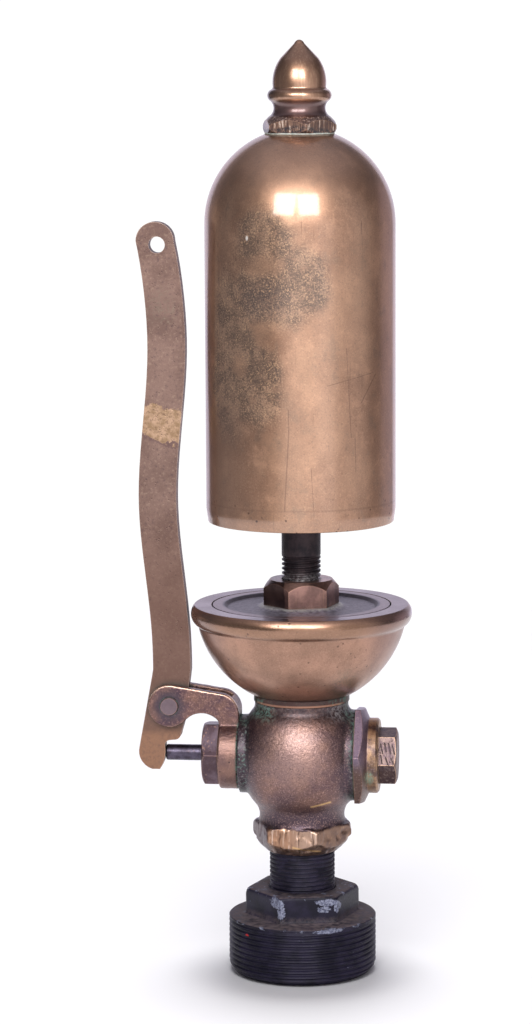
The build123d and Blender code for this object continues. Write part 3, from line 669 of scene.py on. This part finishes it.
def bracket_finish():
    """The fork: mauve-copper sand casting with a painted highlight along its edges and a dark halo round the
    pin.
    """
    s = Surface("lever_bracket_casting")
    grain = s.noise(0.65, 3.0, 0.72, shift=4.0)
    clouds = s.noise(7.0, 5.0, 0.62, shift=2.0)
    s.colour = s.blend(s.ramp(clouds, 0.34, 0.66), "5d4850", "83645b")
    s.fleck(grain, 0.53, 0.66, 0.6, "b58e82")
    s.fleck(grain, 0.42, 0.28, 0.6, "4c3f48")
    offset = s.vector("SUBTRACT", s.vector("MULTIPLY", s.place, (1, 0, 1)), LEVER_PIN)
    distance = s.vector("LENGTH", offset, output=1)
    halo = s.ramp(s.plus(distance, s.both(s.noise(3.0, 3.0), 2.0)), 9.4, 5.2)
    s.cover(halo, "4d4650", 0.75)
    ring = s.ramp(s.z, 102.5, 99.0)
    s.cover(ring, "96766a", 0.45)
    pits = s.both(s.pits(1.9, 0.26, 12.0), ring)
    s.cover(pits, "3b3038", 0.8)
    closed = s.crevices(3.5, 0.8, 0.4)
    crust = s.both(closed, s.ramp(s.noise(1.6, 5.0, 0.7, shift=14.0), 0.42, 0.56))
    s.cover(closed, GRIME, 0.8)
    s.cover(crust, VERDIGRIS, 0.7)
    # painted highlight: pale pink along the edges, away from the crevices, and brighter along the front upper
    # edge
    s.cover(s.both(s.edges(0.8, 0.99, 0.9), s.inverse(closed)), "f3cbb0")
    front_edge = s.both(s.ramp(s.y, -4.0, -5.5), s.ramp(s.z, 103.5, 105.0))
    painted_highlight_edge = s.both(s.facing_up(0.2, 0.45), s.facing_up(0.95, 0.8), front_edge)
    s.cover(painted_highlight_edge, "ffdcc4")
    roughness = s.between(closed, s.vary(grain, 0.34, 0.5), 0.8)
    metallic = s.between(crust, s.between(closed, 1.0, 0.7), 0.1)
    return s.finish(roughness, metallic, grain, 0.14, coat=0.15, haze=0.22)


def lever_finish():
    """Flat brass bar under a mauve-brown film, worn through to yellow brass across one stretch."""
    s = Surface("lever_bar_brass")
    clouds = s.noise(16.0, 5.0, 0.6)
    grain = s.noise(0.9, 4.0, 0.72, shift=4.0)
    speckle = s.noise(1.5, 5.0, 0.75, shift=14.0)
    s.colour = s.blend(s.ramp(clouds, 0.35, 0.66), "745c54", "8a7066")
    s.fleck(speckle, 0.53, 0.64, 0.4, "a8907f")
    s.fleck(speckle, 0.45, 0.35, 0.55, "57474a")
    dull = s.both(s.blotch((-55, -3, 271), (6, 9, 7), 0.6, 0.9, 5.0, 3.0), s.ramp(speckle, 0.46, 0.56))
    s.cover(dull, "6a6257", 0.35)
    low = s.ramp(s.z, 205.0, 150.0)
    s.cover(low, "72564b", 0.65)
    toe = s.ramp(s.z, 103.0, 99.0)
    s.cover(s.both(toe, s.ramp(speckle, 0.35, 0.55, 0.4, 0.8)), "9a745c")
    soot = s.ramp(s.plus(s.z, s.both(speckle, 8.0)), 107.5, 103.0)
    s.cover(s.both(soot, s.ramp(s.z, 96.0, 101.0), s.ramp(speckle, 0.4, 0.6, 0.3, 0.8)), "4c3f42")
    wander = s.both(s.noise(6.0, 8.0, 0.74, shift=9.0), 13.0)
    height = s.plus(s.plus(s.z, wander), s.both(s.x, 0.22))
    patch = s.both(s.band(height, 212.0, 225.5, 0.35), s.ramp(s.y, 0.5, -0.5))
    rim = s.both(s.band(height, 210.6, 212.0, 0.5), s.ramp(s.y, 0.5, -0.5))
    patch_colour = s.blend(s.ramp(s.noise(3.0, 6.0, 0.7), 0.38, 0.62), "9c7f62", "c2a085")
    patch_colour = s.blend(s.ramp(grain, 0.46, 0.36, 0.0, 0.6), patch_colour, "6b5448")
    s.cover(patch, patch_colour)
    s.cover(rim, "5b4549", 0.5)
    pits = s.pits(1.5, 0.24, 42.0)
    s.cover(pits, "463739", 0.4)
    s.fleck(grain, 0.6, 0.8, 0.3, "6a5550")
    closed = s.crevices(4.0, 0.8, 0.4)
    s.cover(closed, "454a46", 0.8)
    # painted highlight: pale lines along the edges, strongest round the top arc
    painted_highlight_arc = s.ramp(s.z, 296.0, 303.0, 0.4, 1.0)
    s.cover(s.both(s.edges(0.45, 0.985, 0.85), painted_highlight_arc), "e6cdbd")
    relief = s.minus(s.both(grain, 0.35), s.plus(pits, s.both(patch, 0.3)))
    roughness = s.between(patch, s.vary(grain, 0.48, 0.6), 0.42)
    return s.finish(roughness, s.between(closed, 0.9, 0.5), relief, 0.06, coat=0.1, haze=0.3)


def disc_finish():
    """The disc's top: dark purple-grey with lathe rings, dull scale and a pale deposit at the boss."""
    s = Surface("bowl_disc_scale")
    radius = s.vector("LENGTH", s.vector("MULTIPLY", s.place, (1, 1, 0)), output=1)
    scale = s.noise(2.0, 5.0, 0.68, shift=3.0)
    grain = s.noise(0.6, 3.0, 0.7, shift=5.0)
    s.colour = s.blend(s.ramp(scale, 0.35, 0.65), "6b6570", "96909f")
    s.fleck(grain, 0.52, 0.72, 0.5, "a9a1a6")
    wall = s.band(radius, 29.6, 31.2, 0.3)
    s.cover(wall, "4c4650", 0.7)
    ragged = s.plus(radius, s.both(s.noise(2.2, 5.0, 0.7, shift=8.0), 5.0))
    chalk = s.ramp(s.noise(1.1, 5.0, 0.75, shift=18.0), 0.38, 0.52, 0.2, 1.0)
    deposit = s.both(s.band(ragged, 15.8, 19.4, 0.8), chalk)
    s.cover(deposit, "bcb9b6", 0.9)
    plate = s.ramp(radius, 31.4, 32.2)
    s.cover(plate, "8b7678", 0.7)
    closed = s.crevices(2.5, 0.75, 0.35)
    s.cover(closed, GRIME, 0.85)
    waves = s.add("Math", {0: s.both(radius, 5.2)}, operation="SINE")
    height = s.plus(s.both(waves, 0.12), s.both(scale, 0.7))
    roughness = s.between(plate, s.vary(scale, 0.5, 0.68), 0.4)
    return s.finish(roughness, s.between(plate, 0.65, 0.95), height, 0.08, coat=0.1, haze=0.3)


def bowl_finish():
    """Smooth turned bowl: golden bead, purple rim top, pits and a green stain low on the right."""
    s = Surface("bowl_bronze_turned")
    clouds = s.noise(16.0, 5.0, 0.62, shift=6.0)
    grain = s.noise(0.9, 4.0, 0.7, shift=4.0)
    s.colour = s.blend(s.ramp(clouds, 0.34, 0.68), "9a7865", "b88f79")
    bead = s.band(s.z, 143.4, 149.6, 0.8)
    s.cover(bead, "946f52", 0.5)
    fine = s.noise(0.6, 3.0, 0.75, shift=54.0)
    s.fleck(fine, 0.54, 0.68, 0.3, "d3ab92")
    s.fleck(fine, 0.46, 0.34, 0.3, "6d5549")
    top = s.facing_up(0.8, 0.97)
    s.cover(top, "6f6473", 0.8)
    s.fleck(grain, 0.58, 0.78, 0.35, DARK_BRONZE)
    low_pits = s.both(s.pits(2.0, 0.24, 28.0), s.blotch((22, -30, 130), (8, 12, 7), 0.5))
    pits = s.either(s.pits(3.4, 0.2, 18.0), low_pits)
    stain = s.blotch((18.5, -24, 122.5), (4.5, 9, 9), 0.6, 1.0, 4.0, 4.0)
    stain = s.both(stain, s.ramp(grain, 0.4, 0.6, 0.3, 1.0))
    s.cover(stain, "68695c", 0.5)
    # painted shade: darker purple-grey towards the left and right sides
    rims = s.ramp(s.absolute(s.x), 24.0, 40.0, 0.0, 0.5)
    s.cover(rims, "7a6468")
    s.cover(pits, DARK_BRONZE, 0.7)
    closed = s.crevices(4.0, 0.8, 0.4)
    # the foot under the bowl: painted shade darkens it together with the grime in crevices, and verdigris
    # grows there
    foot = s.ramp(s.z, 116.4, 114.6)
    sides = s.ramp(s.absolute(s.x), 11.0, 16.0, 0.1, 1.0)
    green = s.both(s.either(closed, foot), sides, s.ramp(s.noise(1.8, 5.0, 0.7, shift=14.0), 0.46, 0.6))
    s.cover(s.either(closed, s.both(foot, 0.9)), "352d35", 0.9)
    s.cover(green, VERDIGRIS, 0.6)
    # painted highlight: a thin light line along the front of the foot's lower edge
    lip = s.both(s.band(s.z, 112.1, 112.9, 0.2), s.ramp(s.y, -6.0, -12.0))
    s.cover(lip, "c08f76", 0.6)
    height = s.minus(s.plus(s.both(grain, 0.3), s.both(fine, 0.25)), pits)
    polish = s.between(bead, s.vary(clouds, 0.42, 0.34), 0.27)
    roughness = s.between(s.either(closed, green), polish, 0.7)
    coat = s.between(s.either(closed, foot), s.between(bead, 0.25, 0.45), 0.0)
    return s.finish(roughness, s.between(green, 1.0, 0.4), height, 0.06, coat=coat, haze=0.16, index=1.7)


PAINT_CHIPS = [             # centres and radii
    ((-9.3, -20, 32.2), (2.6, 6, 2.4)), ((-6.6, -20, 29.5), (1.8, 6, 4.6)),
    ((12.0, -19, 32.2), (5.0, 7, 1.6)), ((10.5, -20, 29.4), (3.0, 7, 1.4)),
    ((15.6, -16, 30.5), (1.5, 7, 2.4)), ((13.0, -27, 22.6), (6.5, 8, 1.0)),
]


def iron_finish(name, hexagon=False):
    """Satin black paint over iron: dust on what faces up, and chips down to grey-blue metal."""
    s = Surface(name)
    grain = s.noise(0.9, 4.0, 0.7, shift=4.0)
    clouds = s.noise(9.0, 4.0, 0.6)
    s.colour = s.blend(s.ramp(clouds, 0.35, 0.65), BLACK_PAINT, "211d30")
    # painted highlight: purple-grey along the thread crests, roots and other edges
    painted_crest_highlight = s.edges(0.3, 0.97, 0.8)
    s.cover(s.both(painted_crest_highlight, s.ramp(clouds, 0.38, 0.56)), "676178", 0.6)
    s.shade("Specular IOR Level", 0.22)
    dust = s.both(s.facing_up(0.6, 0.95), s.ramp(s.noise(3.0, 6.0, 0.75, shift=6.0), 0.36, 0.6, 0.15, 1.0))
    if hexagon:
        corner = s.both(s.crevices(5.0, 0.9, 0.55), s.ramp(s.noise(1.6, 5.0, 0.75, shift=16.0), 0.34, 0.6))
        dust = s.either(s.both(dust, s.ramp(s.z, 22.6, 23.3)), s.both(corner, s.band(s.z, 22.6, 26.5, 0.8)))
    s.cover(dust, DUST, 0.7 if hexagon else 0.15)
    roughness = s.between(dust, s.vary(grain, 0.34, 0.5), 0.85)
    height = grain
    metallic = 0.0
    if hexagon:
        flakes = s.noise(3.2, 6.0, 0.72, shift=35.0)
        crumbs = s.noise(1.5, 6.0, 0.8, shift=45.0)
        regions = s.either(*[s.blotch(*chip, 0.3, 0.5, 2.0, shift) for shift, chip in enumerate(PAINT_CHIPS)])
        large = s.ramp(s.plus(crumbs, s.both(regions, 0.3)), 0.7, 0.73)
        rims = s.either(s.band(s.z, 33.4, 34.7, 0.2), s.band(s.z, 22.4, 23.4, 0.2))
        chips = s.either(large, s.both(rims, s.ramp(flakes, 0.58, 0.6)), s.ramp(flakes, 0.69, 0.71))
        s.cover(chips, s.blend(s.ramp(grain, 0.42, 0.58), "5d6075", CHIP))
        red = s.blotch((-20.5, -21.9, 19.0), (0.7, 2.0, 0.5), 0.3, 0.2, 1.0)
        s.cover(red, "a8262a")
        height = s.minus(s.both(grain, 0.4), chips)
        metallic = s.both(chips, 0.5)
    return s.finish(roughness, metallic, height, 0.07)


def spindle_finish():
    """Near-black brown steel, with a chalky deposit in the lowest threads."""
    s = Surface("spindle_steel_browned")
    clouds = s.noise(6.0, 5.0, 0.65)
    grain = s.noise(0.7, 3.0, 0.7, shift=4.0)
    s.colour = s.blend(s.ramp(clouds, 0.35, 0.65), "221c22", "413538")
    s.fleck(grain, 0.58, 0.75, 0.5, "6b5b60")
    deposit = s.both(s.ramp(s.z, 166.0, 161.5), s.ramp(s.noise(1.4, 5.0, 0.7, shift=7.0), 0.4, 0.6))
    s.cover(deposit, "a3a0a2", 0.85)
    roughness = s.vary(grain, 0.38, 0.58)
    return s.finish(roughness, 0.7, grain, 0.05, coat=0.1, haze=0.3)


def steel_finish():
    """The stem: blue-purple dark steel, darker at the rounded end, with fine turning rings."""
    s = Surface("stem_steel_blued")
    clouds = s.noise(5.0, 5.0, 0.65)
    grain = s.noise(0.6, 3.0, 0.7, (1, 0.3, 0.3), 4.0)
    s.colour = s.blend(s.ramp(clouds, 0.35, 0.65), "3f3843", "625b6c")
    tip = s.ramp(s.x, -54.2, -55.3)
    s.cover(tip, "1e1a22", 0.85)
    rust = s.ramp(s.noise(2.5, 5.0, 0.7, shift=9.0), 0.55, 0.7, 0.0, 0.5)
    s.cover(rust, "5d4b48")
    return s.finish(s.vary(grain, 0.3, 0.48), 1.0, grain, 0.03, coat=0.1)


def dull_finish(name, light, dark, rough=0.85):
    """Fibre, packing and composition: matt, mottled and slightly fuzzy."""
    s = Surface(name)
    weave = s.noise(1.2, 5.0, 0.7)
    s.colour = s.blend(s.ramp(weave, 0.35, 0.65), dark, light)
    return s.finish(s.vary(weave, rough - 0.1, rough), 0.0, weave, 0.12)


# ---------------------------------------------------------------- shapes

def lathe(name, rings, columns):
    """A closed surface about Z. Each ring is a function of the angle that gives a radius and height in mm."""
    verts = []
    for ring in rings:
        for column in range(columns):
            angle = 2 * math.pi * column / columns
            radius, height = ring(angle)
            verts.append((radius * math.cos(angle) * MM, radius * math.sin(angle) * MM, height * MM))
    faces = []
    for row in range(len(rings)):
        below = row * columns
        above = (row + 1) % len(rings) * columns
        for column in range(columns):
            after = (column + 1) % columns
            faces.append((below + column, below + after, above + after, above + column))
    mesh = bpy.data.meshes.new(name)
    mesh.from_pydata(verts, [], faces)
    mesh.update()
    mesh.shade_smooth()
    return new_object(name, mesh)


def circle(radius, height):
    return lambda angle: (radius, height)


def groove(angle, height, pitch):
    """Depth of a helical thread at a point, from 0 on the flat crest to 1 on the flat root."""
    share = (height / pitch - angle / (2 * math.pi)) % 1
    from_root = abs(2 * share - 1)
    flank = min(1.0, max(0.0, (1 - THREAD_FLAT - from_root) / (1 - 2 * THREAD_FLAT)))
    crest_line = CREST_LINE * max(0.0, 1 - (1 - from_root) / CREST_LINE_WIDTH)
    return max(flank, crest_line)


def thread_rings(crest, low, high, pitch, depth, run_out, lead_in):
    """Rings of a thread that fades out over run_out turns at the top and lead_in turns at the bottom."""
    count = round((high - low) / pitch * THREAD_ROWS)
    rings = []
    for index in range(count + 1):
        height = low + (high - low) * index / count
        fade = min(1.0, (height - low) / (lead_in * pitch + 1e-6), (high - height) / (run_out * pitch + 1e-6))

        def ring(angle, height=height, fade=fade):
            return crest(height) - depth * fade * groove(angle, height, pitch), height
        rings.append(ring)
    return rings


def hexagon_ring(corner, height, turn, limit=None):
    """A hexagon's outline at one height; limit is the circle that its corners are turned to."""
    def ring(angle):
        across = (angle - turn) % (math.pi / 3) - math.pi / 6
        radius = corner * math.cos(math.pi / 6) / math.cos(across)
        return min(radius, limit or radius), height
    return ring


def make_bushing():
    """Reducing bushing: coarse pipe thread below, hexagon above, bored through."""
    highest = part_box("reducing_bushing")[1]
    radius = highest.x / MM
    top = highest.z / MM
    bore, foot, ledge = 13.35, 26.6, 26.0   # radii
    thread_top = 23.7
    thread_depth = 0.85
    taper_height, taper_depth = 5.0, 3.0    # the first threads are smaller
    corner = 23.3
    turn = math.radians(12.3)

    def crest(height):
        lead = max(0.0, 1 - height / taper_height)
        return radius - taper_depth * lead ** 2.4
    rings = [circle(bore, 0), circle(foot, 0)]
    rings += thread_rings(crest, 0.3, thread_top - 0.8, BUSHING_PITCH, thread_depth, 0.6, 1.2)
    rings += [circle(radius - 0.4, thread_top - 0.4), circle(radius - 1.2, thread_top - 0.2)]
    rings.append(circle(ledge, thread_top))
    for larger, above in ((0.6, 0.1), (0.05, 0.7), (0.0, 1.6)):
        rings.append(hexagon_ring(corner + larger, thread_top + above, turn))
    for smaller, below, limit in ((0.0, 2.2, None), (0.0, 1.1, 22.9), (0.2, 0.5, 22.4), (0.7, 0.1, 21.8)):
        rings.append(hexagon_ring(corner - smaller, top - below, turn, limit))
    rings += [circle(19.0, top), circle(14.0, top), circle(bore, top - 0.6)]
    return lathe("bushing_iron", rings, 240)


def make_nipple():
    """Pipe nipple, threaded from both ends so that the threads meet."""
    low, high = 14.0, 64.8
    bore, end, crest = 10.4, 12.2, 13.3
    thread_depth = 0.75
    rings = [circle(bore, low), circle(end, low)]
    rings += thread_rings(lambda height: crest, low + 0.6, high - 0.6, NIPPLE_PITCH, thread_depth, 0.8, 0.8)
    rings += [circle(end, high), circle(bore, high)]
    return lathe("nipple_iron", rings, 144)


def make_spindle():
    """Spindle: threaded through the disc and its nut, plain in the bell, threaded under the acorn nut."""
    low, high = 124.0, 356.0
    radius, end, centre = 7.9, 6.9, 0.2
    lower_thread, upper_thread = (124.6, 172.0), (323.0, 355.4)
    thread_depth = 0.95
    rings = [circle(centre, low), circle(end, low)]
    rings += thread_rings(lambda height: radius, *lower_thread, SPINDLE_PITCH, thread_depth, 1.5, 0.8)
    rings += [circle(radius, height) for height in (180.0, 220.0, 260.0, 300.0, 322.0)]
    rings += thread_rings(lambda height: radius, *upper_thread, SPINDLE_PITCH, thread_depth, 0.8, 1.5)
    rings += [circle(end, high), circle(centre, high)]
    return lathe("spindle_rod", rings, 96)


def add_weld(thing):
    weld = thing.modifiers.new("weld", "WELD")
    weld.merge_threshold = WELD_GAP * MM


def remeshed(node, name, voxel, smoothing):
    """A cast copy of a CAD node: even small faces with soft corners."""
    piece = new_object(name, nodes[node].data.copy())
    add_weld(piece)
    mesh = piece.modifiers.new("remesh", "REMESH")
    mesh.mode = "VOXEL"
    mesh.voxel_size = voxel * MM
    soften = piece.modifiers.new("soften", "SMOOTH")
    soften.factor = 0.5
    soften.iterations = smoothing
    graph = bpy.context.evaluated_depsgraph_get()
    cast = bpy.data.meshes.new_from_object(piece.evaluated_get(graph))
    piece.modifiers.clear()
    piece.data = cast
    cast.shade_smooth()
    return piece


def displace(piece, depth_at):
    """Moves each vertex along its normal by depth_at(place in mm), in mm."""
    mesh = piece.data
    count = len(mesh.vertices)
    places = np.zeros(count * 3, np.float32)
    normals = np.zeros(count * 3, np.float32)
    mesh.vertices.foreach_get("co", places)
    mesh.vertices.foreach_get("normal", normals)
    places = places.reshape(-1, 3)
    normals = normals.reshape(-1, 3)
    depths = np.array([depth_at(Vector(place) / MM) for place in places.astype(float)], np.float32)
    mesh.vertices.foreach_set("co", (places + normals * depths[:, None] * MM).ravel())
    mesh.update()


def lumps(place, size, gain):
    return noise.noise(place / size) * gain


def make_body():
    """The valve body as a rough casting, with nicks in the foot's edges."""
    piece = remeshed("valve_body", "valve_body_cast", 0.5, 4)
    side_faces, top_face, bottom_face = 21.6, 111.5, 50.8   # these are machined and stay flat

    def depth(place):
        if abs(place.x) > side_faces or place.z > top_face or place.z < bottom_face:
            return 0.0
        if place.z < FOOT_TOP:
            chewed = max(0.0, noise.noise(place / 3.6 + Vector((3, 1, 7))) - 0.1)
            marks = noise.noise(Vector((place.x / 1.5, place.y / 1.5, place.z / 14)))
            return -chewed * 1.1 + marks * 0.12 + lumps(place, 6.0, 0.12)
        return lumps(place, 7.0, 0.10) + lumps(place, 1.2, 0.06)
    displace(piece, depth)
    return piece


def make_bracket():
    """The lever bracket as a casting."""
    piece = remeshed("lever_bracket", "lever_bracket_cast", 0.42, 3)
    displace(piece, lambda place: lumps(place, 5.0, 0.10) + lumps(place, 1.2, 0.06))
    return piece


def make_spring():
    """The coil: a smooth-shaded copy of the CAD spring."""
    piece = new_object("valve_spring_coil", nodes["valve_spring"].data.copy())
    piece.data.shade_smooth()
    return piece


def stand_for(piece, node, body, material):
    piece.data.materials.clear()
    piece.data.materials.append(material)
    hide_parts(node)
    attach(piece, body)


def dress(node, material, bevel):
    """Gives a CAD node its material and small rounded edges."""
    thing = nodes[node]
    thing.data.materials.clear()
    thing.data.materials.append(material)
    thing.data.shade_smooth()
    add_weld(thing)
    rounding = thing.modifiers.new("edges", "BEVEL")
    rounding.width = bevel * MM
    rounding.segments = 3
    rounding.limit_method = "ANGLE"
    rounding.angle_limit = SHARP_EDGE
    rounding.use_clamp_overlap = True
    shading = thing.modifiers.new("shading", "WEIGHTED_NORMAL")
    shading.keep_sharp = False
    shading.weight = 80


# ---------------------------------------------------------------- the object

bracket = make_bracket()
add_camera()
floor = add_floor()
left_side = ("lever", "lever_pin", "pin_washer", "packing_nut", "valve_stem")
add_lights(floor, [bracket] + [nodes[name] for name in left_side])
add_surroundings()

bushing_paint = iron_finish("bushing_paint", hexagon=True)
stand_for(make_bushing(), "reducing_bushing", "whistle_base", bushing_paint)
stand_for(make_nipple(), "pipe_nipple", "whistle_base", iron_finish("nipple_paint"))
stand_for(make_spindle(), "spindle", "whistle_base", spindle_finish())
stand_for(make_body(), "valve_body", "whistle_base", body_finish())
stand_for(bracket, "lever_bracket", "whistle_base", bracket_finish())

dress("bell", bell_finish(), 0.4)
dress("acorn_nut", acorn_finish(), 0.25)
dress("bell_washer", dull_finish("washer_pale", "c9cbc4", "9aa39b"), 0.1)
disc_nut_bronze = wrench_bronze("disc_nut_bronze", "b0897e", "7a5e58", rough=0.32, wear=0.6, coat=0.25,
                                mark_gain=0.2, dark_left=-5.4)
dress("spindle_nut", disc_nut_bronze, 0.35)
dress("bowl", bowl_finish(), 0.4)
dress("bowl_disc", disc_finish(), 0.25)
dress("lever", lever_finish(), 0.45)
pin_brass = turned_bronze("pin_brass", "86747a", "6c5d64", 0.4, wear=0.5)
dress("lever_pin", pin_brass, 0.2)
dress("pin_washer", pin_brass, 0.2)
packing_nut_bronze = wrench_bronze("packing_nut_bronze", "7d6c76", "58464c", rough=0.36, wear=0.95, coat=0.15,
                                   mark_gain=0.4)
dress("packing_nut", packing_nut_bronze, 0.35)
dress("valve_bonnet", bonnet_finish(), 0.35)
dress("bonnet_plug", plug_finish(), 0.35)
dress("valve_stem", steel_finish(), 0.3)

inner_bronze = turned_bronze("valve_parts_bronze", "c3a27c", "94755a", 0.3)
for node in ("seat_ring", "valve_disc", "disc_nut", "packing_gland"):
    dress(node, inner_bronze, 0.15)
dress("disc_insert", dull_finish("insert_composition", "4a3a36", "2c2322"), 0.15)
dress("stem_packing", dull_finish("packing_graphite", "5b5850", "35342f", 0.8), 0.1)
dress("bonnet_gasket", dull_finish("gasket_fibre", "6d6657", "4a4b41"), 0.05)
spring_brass = turned_bronze("spring_wire_brass", "c9a878", "8f7350", 0.26)
spring = make_spring()
stand_for(spring, "valve_spring", "whistle_base", spring_brass)
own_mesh(spring)
